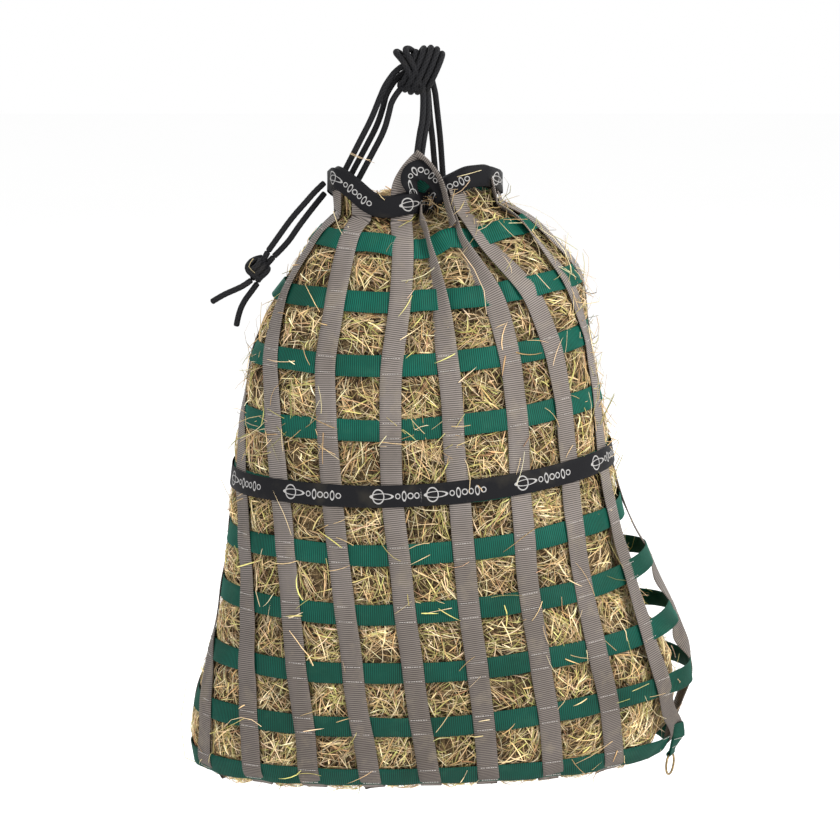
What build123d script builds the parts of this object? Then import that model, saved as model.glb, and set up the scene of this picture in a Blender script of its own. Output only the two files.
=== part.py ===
"""Webbing hay net, full of hay and hung from the knot in its drawstring.

Frame: millimetres, +Z up, +Y to the back. The origin is the hang point, right under the top knot,
where a hook passes between the rope's legs. The net is described by levels, from its mouth down to
its base. Every level has the same 54 places round it: both edges of each of the 18 upright straps and
the middle of each gap. So the fill, the hoops and the straps follow one skin at different offsets.
"""

from build123d import *
from math import copysign, cos, pi, radians, sin, tan
import os

# Webbing
WEB_WIDTH = 27.0
WEB_THICK = 1.5
RIBBON_THICK = 0.8
STRAPS_ROUND = 18
STRAP_AT_MIDDLE = 4.33  # the front's middle line falls between straps 4 and 5

# How far each layer lies outside the fill
HOOP_OUT = 1.2
STRAP_OUT = 4.5
RIBBON_OUT = 6.7
CASING_OUT = 6.6
CHANNEL_OUT = 12.0

# Levels from the mouth down: height, middle in x, half width, half depth, strap pitch on the front
LEVELS = [
    (-143, 3, 102, 56, 30.0),
    (-168, 10, 136, 80, 41.0),
    (-234, 17, 187, 112, 57.0),
    (-309, 5, 211, 130, 74.0),
    (-387, 5, 226, 142, 79.0),
    (-468, 6, 240, 150, 80.0),
    (-542, 9, 250, 154, 80.0),
    (-618, 14, 264, 156, 81.0),
    (-696, 24, 290, 156, 81.0),
    (-767, 30, 317, 152, 82.0),
    (-848, 16, 309, 138, 79.0),
    (-868, 10, 282, 112, 73.0),
]
HOOP_LEVELS = range(1, 11)
RIBBON_LEVEL = 5
BASE = len(LEVELS) - 1
KEEL_DROP = 15.0  # how far the base sags below its last level
TILT = 0.062  # the net hangs a little higher on its right
FRONT_SAG = 11.0  # the hoops dip in the front's middle
LOW_LEVELS = (10, 11)  # these lie nearly level
LOW_TILT = 0.03
ROUNDNESS = 2.3  # the outline's superellipse exponent
SLACK_LEVELS = (6, 10)  # the fill stands off the hoops' right ends between these levels
SLACK = 16.0

# Mouth casing: its mid line's height at shares of the way round, highest where rope pulls it up
MOUTH_HALF_WIDTH = 99.0
MOUTH_HALF_DEPTH = 52.0
MOUTH_PLACES = 48
MOUTH_HEIGHTS = [
    (0.0, -86),
    (0.08, -110),
    (0.16, -99),
    (0.25, -110),
    (0.36, -120),
    (0.5, -126),
    (0.64, -126),
    (0.75, -111),
    (0.82, -101),
    (0.92, -126),
    (1.0, -86),
]
CASING_TURN = 8.0  # how much of the casing's height its edges take to close
STRAP_GAP = 2.0  # between the casing's lower edge and the straps sewn to it
STRAP_TOP_WIDTH = 25.0  # the straps are gathered side by side here

# Rope
ROPE = 7.6
WRAP_RADIUS = 21.0
KNOT_MIDDLE = (5.0, 0.0, 32.0)
STOPPER_MIDDLE = (-201.0, -5.0, -219.0)
STOPPER_RADIUS = 8.5

# Ring and its tab, at the lower right corner
RING_RADIUS = 14.0
RING_WIRE = 3.0
TAB_TOP = (343.0, -38.0, -831.0)
TAB_EYE = (333.0, -38.0, -856.0)
TAB_WIDTH = 16.0
EYE_RADIUS = 4.4
TAB_TURN = 27.0  # the ring's plane, turned from the depth direction towards +X

os.makedirs("parts", exist_ok=True)


def save(solid, node):
    solid.label = node
    export_step(solid, f"parts/{node}.step")


# --- the net's skin -------------------------------------------------------------------------------


def superellipse(half_width, half_depth, angle):
    """A point of the outline, from the front's middle (0) towards +X."""
    power = 2 / ROUNDNESS
    x = copysign(abs(sin(angle)) ** power, sin(angle)) * half_width
    y = -copysign(abs(cos(angle)) ** power, cos(angle)) * half_depth
    return Vector(x, y, 0)


class Outline:
    """One level's outline, read by the share of the way round it."""

    def __init__(self, half_width, half_depth, steps=360):
        self.points = [superellipse(half_width, half_depth, 2 * pi * i / steps) for i in range(steps + 1)]
        self.reach = [0.0]
        for a, b in zip(self.points, self.points[1:]):
            self.reach.append(self.reach[-1] + (b - a).length)
        self.length = self.reach[-1]

    def at(self, share):
        want = share % 1 * self.length
        i = next(i for i in range(1, len(self.reach)) if self.reach[i] >= want)
        part = (want - self.reach[i - 1]) / (self.reach[i] - self.reach[i - 1])
        return self.points[i - 1] * (1 - part) + self.points[i] * part


def strap_shares(length, pitch):
    """Each strap's share of the way round: the front ones at their pitch, the rest evenly spaced."""
    front = [(i - STRAP_AT_MIDDLE) * pitch / length for i in range(9)]
    left_over = (1 - (front[8] - front[0])) / (STRAPS_ROUND - 8)
    return front + [front[8] + (i - 8) * left_over for i in range(9, STRAPS_ROUND)]


def level_places(level):
    """The 54 places of a level: left edge, right edge and following gap of each strap."""
    height, middle, half_width, half_depth, pitch = LEVELS[level]
    outline = Outline(half_width, half_depth)
    shares = strap_shares(outline.length, pitch)
    half = WEB_WIDTH / 2 / outline.length
    low = level in LOW_LEVELS
    places = []
    for i, share in enumerate(shares):
        following = shares[i + 1] if i + 1 < STRAPS_ROUND else shares[0] + 1
        for s in (share - half, share + half, (share + following) / 2):
            p = outline.at(s)
            side = min(1, abs(p.X) / half_width) if p.Y < 0 else 1
            sag = 0 if low else FRONT_SAG * (1 - side**2) ** 2
            rise = (LOW_TILT if low else TILT) * (p.X + middle)
            places.append(p + Vector(middle, 0, height + rise - sag))
    return places


SKIN = [level_places(level) for level in range(len(LEVELS))]
PLACES = len(SKIN[0])
FRONT_PLACE = 3 * round(STRAP_AT_MIDDLE) + 2


def partner(place):
    """The place across the base: strap 0 meets strap 17, and so on to straps 8 and 9."""
    return (PLACES - 2 - place) % PLACES


def keel(place):
    """The point of the base's lowest line under a place."""
    here, there = SKIN[BASE][place], SKIN[BASE][partner(place)]
    drop = KEEL_DROP * min(1, abs(there.Y - here.Y) / LEVELS[BASE][3])
    return (here + there) / 2 - Vector(0, 0, drop)


def outward(level, place):
    """The skin's direction outwards at a place."""
    around = SKIN[level][(place + 1) % PLACES] - SKIN[level][place - 1]
    below = SKIN[level + 1][place] if level < BASE else keel(place)
    down = below - SKIN[max(level - 1, 0)][place]
    return down.cross(around).normalized()


OUTWARD = [[outward(level, place) for place in range(PLACES)] for level in range(len(LEVELS))]


def skin(level, place, out):
    """A point at this offset from the fill; level may lie between two levels."""
    place %= PLACES
    whole = min(int(level), BASE - 1)
    part = level - whole
    point = SKIN[whole][place] * (1 - part) + SKIN[whole + 1][place] * part
    normal = OUTWARD[whole][place] * (1 - part) + OUTWARD[whole + 1][place] * part
    return point + normal.normalized() * out


# --- solids from rows of points -------------------------------------------------------------------


def triangles(a, b, c, d):
    """Two flat faces for a four-cornered patch."""
    return [Face(Wire.make_polygon(corners)) for corners in ((a, b, c), (a, c, d))]


def closed_solid(faces):
    solid = Solid(Shell(faces))
    return solid if solid.volume > 0 else Solid(Shell([-face for face in faces]))


def hoop_solid(rows):
    """A closed hoop. Each row is the cross-section's corners at one place round it."""
    faces = []
    for here, there in zip(rows, rows[1:] + rows[:1]):
        for i in range(len(here)):
            faces += triangles(here[i - 1], here[i], there[i], there[i - 1])
    return closed_solid(faces)


def strip_solid(rows):
    """A strip with two ends. Each row is its four corners at one place along it."""
    faces = triangles(*rows[0]) + triangles(*rows[-1])
    for here, there in zip(rows, rows[1:]):
        for i in range(4):
            faces += triangles(here[i - 1], here[i], there[i], there[i - 1])
    return closed_solid(faces)


# --- the mouth's outline --------------------------------------------------------------------------

MOUTH = Outline(MOUTH_HALF_WIDTH, MOUTH_HALF_DEPTH)


def mouth_height(share):
    """The casing's mid line, in smooth waves between its named heights."""
    share %= 1
    i = max(i for i, (at, _) in enumerate(MOUTH_HEIGHTS[:-1]) if at <= share)
    (start, low), (end, high) = MOUTH_HEIGHTS[i], MOUTH_HEIGHTS[i + 1]
    part = (1 - cos(pi * (share - start) / (end - start))) / 2
    return low * (1 - part) + high * part


def mouth_point(share, out, up):
    around = MOUTH.at(share + 0.01) - MOUTH.at(share - 0.01)
    normal = Vector(around.Y, -around.X, 0).normalized()
    return MOUTH.at(share) + normal * out + Vector(0, 0, mouth_height(share) + up)


# --- the net --------------------------------------------------------------------------------------


def level_steps(level, half_height):
    """How far up and down, in levels, this half height reaches along the skin's slope."""
    up = (SKIN[level][FRONT_PLACE] - SKIN[level - 1][FRONT_PLACE]).length
    down = (SKIN[level + 1][FRONT_PLACE] - SKIN[level][FRONT_PLACE]).length
    return level - half_height / up, level + half_height / down


def make_hoop(level, out, thick, height):
    top, bottom = level_steps(level, height / 2)
    inner = [(top, out), (level, out), (bottom, out)]
    outer = [(bottom, out + thick), (level, out + thick), (top, out + thick)]
    return hoop_solid([[skin(at, place, o) for at, o in inner + outer] for place in range(PLACES)])


def strap_row(left, right, normal):
    """A strap's four corners from its two edges on the skin."""
    near, far = normal * STRAP_OUT, normal * (STRAP_OUT + WEB_THICK)
    return [left + near, right + near, right + far, left + far]


def strap_top(strap):
    """A strap's two upper corners, under the lowest part of the casing that it meets."""
    share = (strap - STRAP_AT_MIDDLE) / STRAPS_ROUND
    half = STRAP_TOP_WIDTH / 2 / MOUTH.length
    lowest = min(mouth_height(s) for s in (share - half, share, share + half))
    height = lowest - WEB_WIDTH / 2 - STRAP_GAP
    return [mouth_point(s, 0, height - mouth_height(s)) for s in (share - half, share + half)]


def strap_side(strap, flip):
    """Rows down one side of the net, from the casing to the base."""
    left, right = 3 * strap, 3 * strap + 1
    top = strap_top(strap)
    edges = [top] + [(skin_level[left], skin_level[right]) for skin_level in SKIN[1:]]
    normals = [Vector(top[1].Y - top[0].Y, top[0].X - top[1].X, 0).normalized()]
    normals += [(out[left] + out[right]).normalized() for out in OUTWARD[1:]]
    return [strap_row(*(pair[::-1] if flip else pair), normal) for pair, normal in zip(edges, normals)]


def make_strap(strap):
    """One length of webbing: down the front, under the base and up the back."""
    front = strap_side(strap, False)
    back = strap_side(STRAPS_ROUND - 1 - strap, True)
    under = strap_row(keel(3 * strap), keel(3 * strap + 1), Vector(0, 0, -1))
    return strip_solid(front + [under] + back[::-1])


def fill_place(level, place):
    """The fill's own skin, drawn in from the hoops' right ends where it is slack."""
    p = SKIN[level][place]
    first, last = SLACK_LEVELS
    middle, half_width = LEVELS[level][1:3]
    if p.X > middle and first <= level <= last:
        return Vector(middle + (p.X - middle) * (1 - SLACK / half_width), p.Y, p.Z)
    return p


def make_fill():
    rings = [[fill_place(level, place) for place in range(PLACES)] for level in range(len(LEVELS))]
    top_middle = sum(rings[0], Vector()) / PLACES
    faces = []
    for place in range(PLACES):
        after = (place + 1) % PLACES
        faces.append(Face(Wire.make_polygon((top_middle, rings[0][place], rings[0][after]))))
        for upper, lower in zip(rings, rings[1:]):
            faces += triangles(upper[place], lower[place], lower[after], upper[after])
    ends = (PLACES // 2 - 1, PLACES - 1)
    for place in range(PLACES):
        after = (place + 1) % PLACES
        low, low_after = rings[BASE][place], rings[BASE][after]
        if place in ends:
            faces.append(Face(Wire.make_polygon((low, keel(after), low_after))))
        elif after in ends:
            faces.append(Face(Wire.make_polygon((low, keel(place), low_after))))
        else:
            faces += triangles(low, keel(place), keel(after), low_after)
    return closed_solid(faces)


# --- the mouth ------------------------------------------------------------------------------------


def make_casing(profile):
    shares = [i / MOUTH_PLACES for i in range(MOUTH_PLACES)]
    return hoop_solid([[mouth_point(s, out, up) for out, up in profile] for s in shares])


def casing_web_profile():
    half = WEB_WIDTH / 2
    near, far = HOOP_OUT, HOOP_OUT + WEB_THICK
    return [(near, half), (near, -half), (far, -half), (far, half)]


def casing_ribbon_profile():
    half = WEB_WIDTH / 2
    turn = half - CASING_TURN
    inner = [(CASING_OUT, half), (CHANNEL_OUT, turn), (CHANNEL_OUT, -turn), (CASING_OUT, -half)]
    outer = [(out + RIBBON_THICK, up) for out, up in reversed(inner)]
    return inner + outer


def rope_in_casing(first, last, count=20):
    """The drawstring's hidden run between two shares of the way round the mouth."""
    out = (HOOP_OUT + WEB_THICK + CHANNEL_OUT) / 2
    return [mouth_point(first + (last - first) * i / count, out, 0) for i in range(count + 1)]


# --- rope -----------------------------------------------------------------------------------------

# Each length of rope, from the mouth to the top knot or along the tail
ROPES = {
    "rope_left_outer": [(-93, -8, -98), (-73, -8, -59), (-57, -7, -29), (-47, -6, -4), (-38, -6, 17), (-27, -5, 30)],
    "rope_left_middle": [(-84, 4, -101), (-65, 4, -66), (-50, 4, -38), (-42, 4, -14), (-38, 4, 4), (-27, 3, 19)],
    "rope_left_inner": [(-75, -6, -107), (-56, -6, -72), (-41, -6, -44), (-35, -6, -22), (-31, -6, -4), (-20, -5, 9)],
    "rope_front_left": [(-1, -46, -78), (3, -38, -46), (8, -27, -26), (8, -12, 0)],
    "rope_front_right": [(5, -38, -78), (9.4, -31, -46), (14.6, -20, -26), (13.4, -5, 0)],
    "rope_back_left": [(25, 42, -112), (22, 40, -84), (20, 34, -57), (16.5, 26, -30), (14.5, 9, 0)],
    "rope_back_right": [(34, 40, -114), (32, 39, -86), (30, 35, -58), (26.5, 25, -26), (23, 10, 4)],
    "tail_upper": [
        (-116, -9, -108),
        (-128, -9, -119),
        (-140, -7, -133),
        (-158, -6, -153),
        (-174, -6, -175),
        (-189, -6, -196),
    ],
    "tail_lower": [
        (-116, 1, -122),
        (-126, 0, -134),
        (-138, -2, -149),
        (-151, -3, -166),
        (-165, -4, -187),
        (-182, -4, -203),
    ],
    "tail_end_long": [(-210, -8, -232), (-219, -9, -239), (-232, -9, -245), (-248, -8, -252), (-262, -7, -261)],
    "tail_end_short": [(-203, -2, -237), (-211, -1, -248), (-221, -1, -261), (-228, -2, -277), (-231, -3, -293)],
}


def fillet_radii(points):
    """As large as each corner's two runs allow."""
    radii = []
    for a, b, c in zip(points, points[1:], points[2:]):
        half_turn = radians((b - a).get_angle(c - b)) / 2
        radii.append(0.45 * min((b - a).length, (c - b).length) / tan(half_turn))
    return radii


def make_rope(node, route):
    points = [Vector(*p) for p in route]
    radii = fillet_radii(points)
    path = FilletPolyline(*points, radius=radii)
    start = Plane(origin=path @ 0, z_dir=path % 0)
    solid = sweep(start * Circle(ROPE / 2), path=path)
    share = solid.volume / (pi * ROPE**2 / 4 * path.length)
    print(f"{node}: {path.length:.0f} mm, radii {[round(r) for r in radii]}, volume share {share:.3f}")
    return solid


def make_knot(middle, wrap_radius, wraps, lean):
    """Wraps of rope side by side round a core, its axis leaning in the XZ plane."""
    pitch = ROPE * 0.96
    half = pitch * (wraps - 1) / 2
    solid = Cylinder(wrap_radius, 2 * half + ROPE * 0.5)
    for i in range(wraps):
        solid += Pos(0, 0, i * pitch - half) * Torus(wrap_radius, ROPE / 2)
    for end in (-1, 1):
        solid += Pos(0, 0, end * (half + ROPE * 0.25)) * Sphere(wrap_radius * 0.7)
    return Pos(*middle) * Rot(0, lean, 0) * solid


# --- ring and tab ---------------------------------------------------------------------------------


def tab_plane():
    """Local X runs across the tab's fold, Y up the tab and Z along the eye."""
    up = Vector(*TAB_TOP) - Vector(*TAB_EYE)
    eye = Vector(sin(radians(TAB_TURN)), cos(radians(TAB_TURN)), 0)
    across = up.cross(eye).normalized()
    return Plane(origin=TAB_EYE, x_dir=across, z_dir=eye)


def make_tab():
    length = (Vector(*TAB_TOP) - Vector(*TAB_EYE)).length
    neck = EYE_RADIUS + 2 * WEB_THICK
    outline = Circle(EYE_RADIUS + WEB_THICK) + Pos(0, length / 2) * Rectangle(2 * WEB_THICK, length)
    outline += Pos(0, neck / 2) * Rectangle(4 * WEB_THICK, neck)
    outline -= Circle(EYE_RADIUS)
    return tab_plane() * extrude(outline, TAB_WIDTH / 2, both=True)


def make_ring():
    middle = Vector(*TAB_EYE) - Vector(0, 0, RING_RADIUS)
    face = Vector(cos(radians(TAB_TURN)), -sin(radians(TAB_TURN)), 0)
    return Plane(origin=middle, z_dir=face) * Torus(RING_RADIUS, RING_WIRE / 2)


def main():
    save(make_fill(), "hay_fill")
    for strap in range(STRAPS_ROUND // 2):
        save(make_strap(strap), f"upright_strap_{strap + 1}")
    for level in HOOP_LEVELS:
        save(make_hoop(level, HOOP_OUT, WEB_THICK, WEB_WIDTH), f"hoop_strap_{level}")
    save(make_hoop(RIBBON_LEVEL, RIBBON_OUT, RIBBON_THICK, WEB_WIDTH), "waist_ribbon")
    save(make_casing(casing_web_profile()), "casing_web")
    save(make_casing(casing_ribbon_profile()), "casing_ribbon")
    for node, route in ROPES.items():
        save(make_rope(node, route), node)
    save(make_rope("drawstring_front", rope_in_casing(-0.23, 0.23)), "drawstring_front")
    save(make_rope("drawstring_back", rope_in_casing(0.27, 0.73)), "drawstring_back")
    save(make_knot(KNOT_MIDDLE, WRAP_RADIUS, 4, 115), "top_knot")
    save(make_knot(STOPPER_MIDDLE, STOPPER_RADIUS, 3, 135), "stopper_knot")
    save(make_tab(), "ring_tab")
    save(make_ring(), "ring")


main()
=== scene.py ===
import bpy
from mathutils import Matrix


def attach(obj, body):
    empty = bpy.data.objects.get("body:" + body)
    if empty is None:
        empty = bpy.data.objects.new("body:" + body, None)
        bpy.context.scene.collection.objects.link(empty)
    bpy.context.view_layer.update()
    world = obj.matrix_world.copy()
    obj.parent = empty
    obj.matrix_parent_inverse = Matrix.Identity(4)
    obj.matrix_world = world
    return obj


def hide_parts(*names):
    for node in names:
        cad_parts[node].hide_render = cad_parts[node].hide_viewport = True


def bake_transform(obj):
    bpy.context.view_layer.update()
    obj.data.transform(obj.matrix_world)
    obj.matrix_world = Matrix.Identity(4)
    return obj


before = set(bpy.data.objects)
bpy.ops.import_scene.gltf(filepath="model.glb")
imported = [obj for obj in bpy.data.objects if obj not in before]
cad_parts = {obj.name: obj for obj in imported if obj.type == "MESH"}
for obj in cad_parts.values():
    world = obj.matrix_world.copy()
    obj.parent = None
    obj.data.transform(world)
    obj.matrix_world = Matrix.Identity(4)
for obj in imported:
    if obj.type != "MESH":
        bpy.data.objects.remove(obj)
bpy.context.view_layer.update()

# Looks of the webbing hay net. Sizes here are millimetres, as in the CAD, and meshes are made in metres.
# A place on the net's skin is (level, share, out): level -1 is the mouth, 0 to 11 are the CAD's levels
# and 12 is the keel under the base; share is how far round it is, 0 at the front's middle and growing
# to +X; out is the distance outside the hay's skin.
import math

import bpy
import numpy as np
from mathutils import Vector

MM = 0.001
rng = np.random.default_rng(11)

# --- dimensions -----------------------------------------------------------------------------------

WEB_WIDTH = 27.0
WEB_THICK = 1.4
RIB = 2.6  # pitch of the webbing's ribs
STRAPS = 18
HOOPS = range(1, 11)
WAIST = 5
BASE = 11
KEEL = 12
KEEL_DROP = 15.0
ROUNDNESS = 2.3
TILT, LOW_TILT, FRONT_SAG = 0.062, 0.03, 11.0

# Height, middle x, half width, half depth
LEVELS = [
    (-143, 3, 102, 56),
    (-168, 10, 136, 80),
    (-234, 17, 187, 112),
    (-309, 5, 211, 130),
    (-387, 5, 226, 142),
    (-468, 6, 240, 150),
    (-542, 9, 250, 154),
    (-618, 14, 264, 156),
    (-696, 24, 290, 156),
    (-767, 30, 317, 152),
    (-848, 16, 309, 138),
    (-868, 10, 282, 112),
]

# The mouth casing's mid line: share, x, y, height. It is drawn back where the front ropes fold it up.
MOUTH = [
    (-0.25, -104, 0, -108),
    (-0.20, -96, -26, -99),
    (-0.165, -80, -36, -110),
    (-0.125, -60, -45, -127),
    (-0.10, -46, -50, -134),
    (-0.078, -32, -52, -134),
    (-0.04, -10, -52, -129),
    (-0.01, 2, -34, -130),
    (0.03, 12, -26, -132),
    (0.07, 24, -30, -126),
    (0.10, 32, -40, -114),
    (0.12, 42, -42, -108),
    (0.165, 62, -39, -98),
    (0.205, 82, -28, -97),
    (0.24, 95, -8, -104),
    (0.275, 100, 14, -112),
    (0.32, 85, 38, -118),
    (0.365, 55, 44, -128),
    (0.42, 25, 40, -128),
    (0.52, -5, 44, -138),
    (0.61, -40, 40, -146),
    (0.665, -72, 34, -136),
    (0.71, -96, 18, -118),
]

# Where the nine front straps cross the levels, in x; past the side's edge it runs on round the side
FRONT_STRAPS = {
    1: (-203, -163, -124, -84, -15, 14, 49, 74, 132),
    2: (-250, -206, -164, -99, -22, 27, 89, 133, 180),
    3: (-262, -216, -179, -110, -31, 40, 117, 170, 213),
    5: (-262, -219, -168, -104, -30, 51, 128, 188, 232),
    7: (-255, -213, -157, -87, -12, 66, 141, 209, 263),
    9: (-268, -214, -143, -74, 0, 80, 160, 235, 306),
    10: (-273, -207, -134, -56, 19, 94, 175, 254, 320),
    11: (-262, -200, -130, -54, 19, 92, 171, 246, 284),
}
MOUTH_SHARES = (-0.33, -0.27, -0.215, -0.14, -0.05, 0.0, 0.1, 0.13, 0.222)

# Straps that turn edge-on towards the folded mouth: turn in degrees at the mouth, level 1, 2 and 3
TWISTS = {
    4: (0, 4, 0, 0),
    5: (78, 76, 40, 0),
    6: (80, 68, 12, 0),
    7: (-25, -30, -12, 0),
    8: (-40, -38, -14, 0),
}
STRAP_STARTS = {5: -0.55, 6: -0.6}  # the others start inside the casing, at -0.9


# --- the skin -------------------------------------------------------------------------------------

RES = 14  # rows for each level
SHARES = 720


def between_rows(rows, at):
    """Smooth values at fractional row numbers."""
    rows, at = np.asarray(rows, float), np.asarray(at, float)
    last = len(rows) - 1
    i = np.clip(at.astype(int), 0, last - 1)
    t = (at - i)[:, None]
    a, b = rows[i], rows[i + 1]
    rise_a = (b - rows[np.maximum(i - 1, 0)]) / 2
    rise_b = (rows[np.minimum(i + 2, last)] - a) / 2
    return (
        a * (2 * t**3 - 3 * t**2 + 1)
        + rise_a * (t**3 - 2 * t**2 + t)
        + b * (3 * t**2 - 2 * t**3)
        + rise_b * (t**3 - t**2)
    )


def blur(values, width, closed=True):
    """A running mean, three times over, along the first axis."""
    for _ in range(3):
        pad = [(width, width)] + [(0, 0)] * (values.ndim - 1)
        wide = np.pad(values, pad, mode="wrap" if closed else "edge")
        values = sum(wide[k : k + len(values)] for k in range(2 * width + 1)) / (2 * width + 1)
    return values


def outline(half_width, half_depth):
    """Points at equal steps round a superellipse, from the front's middle towards +X."""
    angle = np.linspace(0, 2 * math.pi, 1441)
    power = 2 / ROUNDNESS
    x = np.sign(np.sin(angle)) * np.abs(np.sin(angle)) ** power * half_width
    y = -np.sign(np.cos(angle)) * np.abs(np.cos(angle)) ** power * half_depth
    reach = np.concatenate([[0], np.cumsum(np.hypot(np.diff(x), np.diff(y)))])
    want = np.arange(SHARES) / SHARES * reach[-1]
    return np.stack([np.interp(want, reach, x), np.interp(want, reach, y)], 1), reach[-1]


def make_skin():
    rows, girths = [], []
    levels = np.arange(0, BASE + 1e-6, 1 / RES)
    for level, (height, middle, half_width, half_depth) in zip(levels, between_rows(LEVELS, levels)):
        flat, girth = outline(half_width, half_depth)
        low = min(1, max(0, level - 9))
        side = np.minimum(1, np.abs(flat[:, 0]) / half_width)
        sag = FRONT_SAG * (1 - low) * (1 - side**2) ** 2 * (flat[:, 1] < 0)
        x = flat[:, 0] + middle
        rows.append(np.stack([x, flat[:, 1], height + (TILT + (LOW_TILT - TILT) * low) * x - sag], 1))
        girths.append(girth)
    mouth = np.array(MOUTH)
    share = np.arange(SHARES) / SHARES
    turn = np.concatenate([mouth[:, 0] - 1, mouth[:, 0], mouth[:, 0] + 1])
    loop = np.stack([np.interp(share, turn, np.tile(mouth[:, c], 3)) for c in (1, 2, 3)], 1)
    loop = blur(loop, 3)
    top = [loop + (rows[0] - loop) * (k / RES) for k in range(RES)]
    base, bottom = rows[-1], []
    for k in range(1, RES + 1):
        turn = math.pi / 2 * k / RES
        drop = KEEL_DROP * math.sin(turn) * np.minimum(1, np.abs(base[:, 1]) * 2 / LEVELS[BASE][3])
        bottom.append(np.stack([base[:, 0], base[:, 1] * math.cos(turn), base[:, 2] - drop], 1))
    girths = [girths[0]] * RES + girths + [girths[-1]] * RES
    return np.array(top + rows + bottom), np.array(girths)


SKIN, GIRTH = make_skin()
ROWS = len(SKIN)


def make_outward():
    down = np.gradient(SKIN, axis=0)
    around = np.roll(SKIN, -1, axis=1) - np.roll(SKIN, 1, axis=1)
    normal = np.cross(down, around)
    normal[:RES] = normal[RES]
    normal /= np.maximum(np.linalg.norm(normal, axis=2, keepdims=True), 1e-9)
    return normal


OUTWARD = make_outward()
STEP = np.linalg.norm(np.gradient(SKIN, axis=0), axis=2) * RES  # millimetres for each level


def lookup(table, level, share):
    """A table's value at places on the skin."""
    row = np.clip((np.asarray(level, float) + 1) * RES, 0, ROWS - 1.0001)
    column = np.mod(np.asarray(share, float), 1) * SHARES
    i, j = row.astype(int), column.astype(int) % SHARES
    u, w = row - i, column - column.astype(int)
    if table.ndim == 1:
        return table[i] * (1 - u) + table[i + 1] * u
    if table.ndim == 3:
        u, w = u[..., None], w[..., None]
    after = (j + 1) % SHARES
    upper = table[i, j] * (1 - w) + table[i, after] * w
    lower = table[i + 1, j] * (1 - w) + table[i + 1, after] * w
    return upper * (1 - u) + lower * u


def unit(vectors):
    return vectors / np.maximum(np.linalg.norm(vectors, axis=-1, keepdims=True), 1e-9)


def smooth_line(rows, count):
    """This many rows along a smooth line through a few."""
    return between_rows(rows, np.linspace(0, len(rows) - 1, count))


def loop_direction(points):
    """Unit directions along a closed loop of points."""
    return unit(np.roll(points, -1, axis=0) - np.roll(points, 1, axis=0))


def from_share(share, middle):
    """How far round the net a share is from another one, from -0.5 to 0.5."""
    return (share - middle + 0.5) % 1 - 0.5


def skin(level, share, out=0.0):
    out = np.asarray(out, float)
    return lookup(SKIN, level, share) + unit(lookup(OUTWARD, level, share)) * out[..., None]


def share_of_x(level, x):
    """The share at which a level's front has this x."""
    shares = np.linspace(-0.25, 0.25, SHARES // 2 + 1)
    xs = lookup(SKIN, np.full(len(shares), level), shares)[:, 0]
    girth = lookup(GIRTH, level, 0.0)
    past = np.maximum(0, x - xs[-1]) - np.maximum(0, xs[0] - x)
    return np.interp(x, xs, shares) + past / girth


def make_strap_shares():
    """Every strap's share at every row of the skin."""
    levels = [-1] + sorted(FRONT_STRAPS)
    front = [MOUTH_SHARES] + [[share_of_x(v, x) for x in FRONT_STRAPS[v]] for v in levels[1:]]
    table = []
    for shares in front:
        left = 1 + shares[0] - shares[-1]
        table.append(list(shares) + [shares[-1] + left * k / 10 for k in range(1, 10)])
    rows = np.arange(ROWS) / RES - 1
    levels, table = np.array(levels + [KEEL]), np.array(table + [table[-1]])
    straight = np.stack([np.interp(rows, levels, table[:, k]) for k in range(STRAPS)], 1)
    return blur(straight, 4, closed=False)


STRAP_SHARES = make_strap_shares()


def strap_share(strap, level):
    row = np.clip((np.asarray(level, float) + 1) * RES, 0, ROWS - 1)
    return np.interp(row, np.arange(ROWS), STRAP_SHARES[:, strap])


def clear_of_webbing(level, share):
    """How far a place is from the nearest webbing's edge, in millimetres; less than 0 is under it."""
    row = np.clip(((level + 1) * RES).round().astype(int), 0, ROWS - 1)
    girth = GIRTH[row]
    away = np.full(level.shape, 1e9)
    for strap in range(STRAPS):
        away = np.minimum(away, np.abs(from_share(share, STRAP_SHARES[row, strap])) * girth)
    nearest = np.clip(np.round(level), HOOPS[0], HOOPS[-1])
    up = np.abs(level - nearest) * lookup(STEP, level, share)
    return np.minimum(away, up) - WEB_WIDTH / 2


# --- meshes ---------------------------------------------------------------------------------------


def new_object(name, verts, faces, body, material, smooth=True, uvs=None, values=None, tints=None):
    """An object from millimetre points and quads or triangles, given as arrays of indices."""
    mesh = bpy.data.meshes.new(name)
    sizes = np.concatenate([np.full(len(f), f.shape[1]) for f in faces])
    corners = np.concatenate([f.ravel() for f in faces]).astype(np.int32)
    mesh.vertices.add(len(verts))
    mesh.vertices.foreach_set("co", (np.asarray(verts) * MM).astype(np.float32).ravel())
    mesh.loops.add(len(corners))
    mesh.loops.foreach_set("vertex_index", corners)
    mesh.polygons.add(len(sizes))
    mesh.polygons.foreach_set("loop_start", (np.cumsum(sizes) - sizes).astype(np.int32))
    mesh.update(calc_edges=True)
    mesh.polygons.foreach_set("use_smooth", np.full(len(sizes), smooth))
    if uvs is not None:
        layer = mesh.uv_layers.new(name="weave")
        layer.data.foreach_set("uv", np.asarray(uvs, np.float32)[corners].ravel())
    if values is not None:
        shade = mesh.attributes.new("shade", "FLOAT", "POINT")
        shade.data.foreach_set("value", np.asarray(values, np.float32))
    if tints is not None:
        tint = mesh.attributes.new("tint", "FLOAT_COLOR", "POINT")
        rgba = np.concatenate([tints, np.ones((len(tints), 1))], 1)
        tint.data.foreach_set("color", rgba.astype(np.float32).ravel())
    mesh.validate()
    obj = bpy.data.objects.new(name, mesh)
    bpy.context.scene.collection.objects.link(obj)
    mesh.materials.append(material)
    if body is not None:
        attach(obj, body)
    return obj


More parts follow.
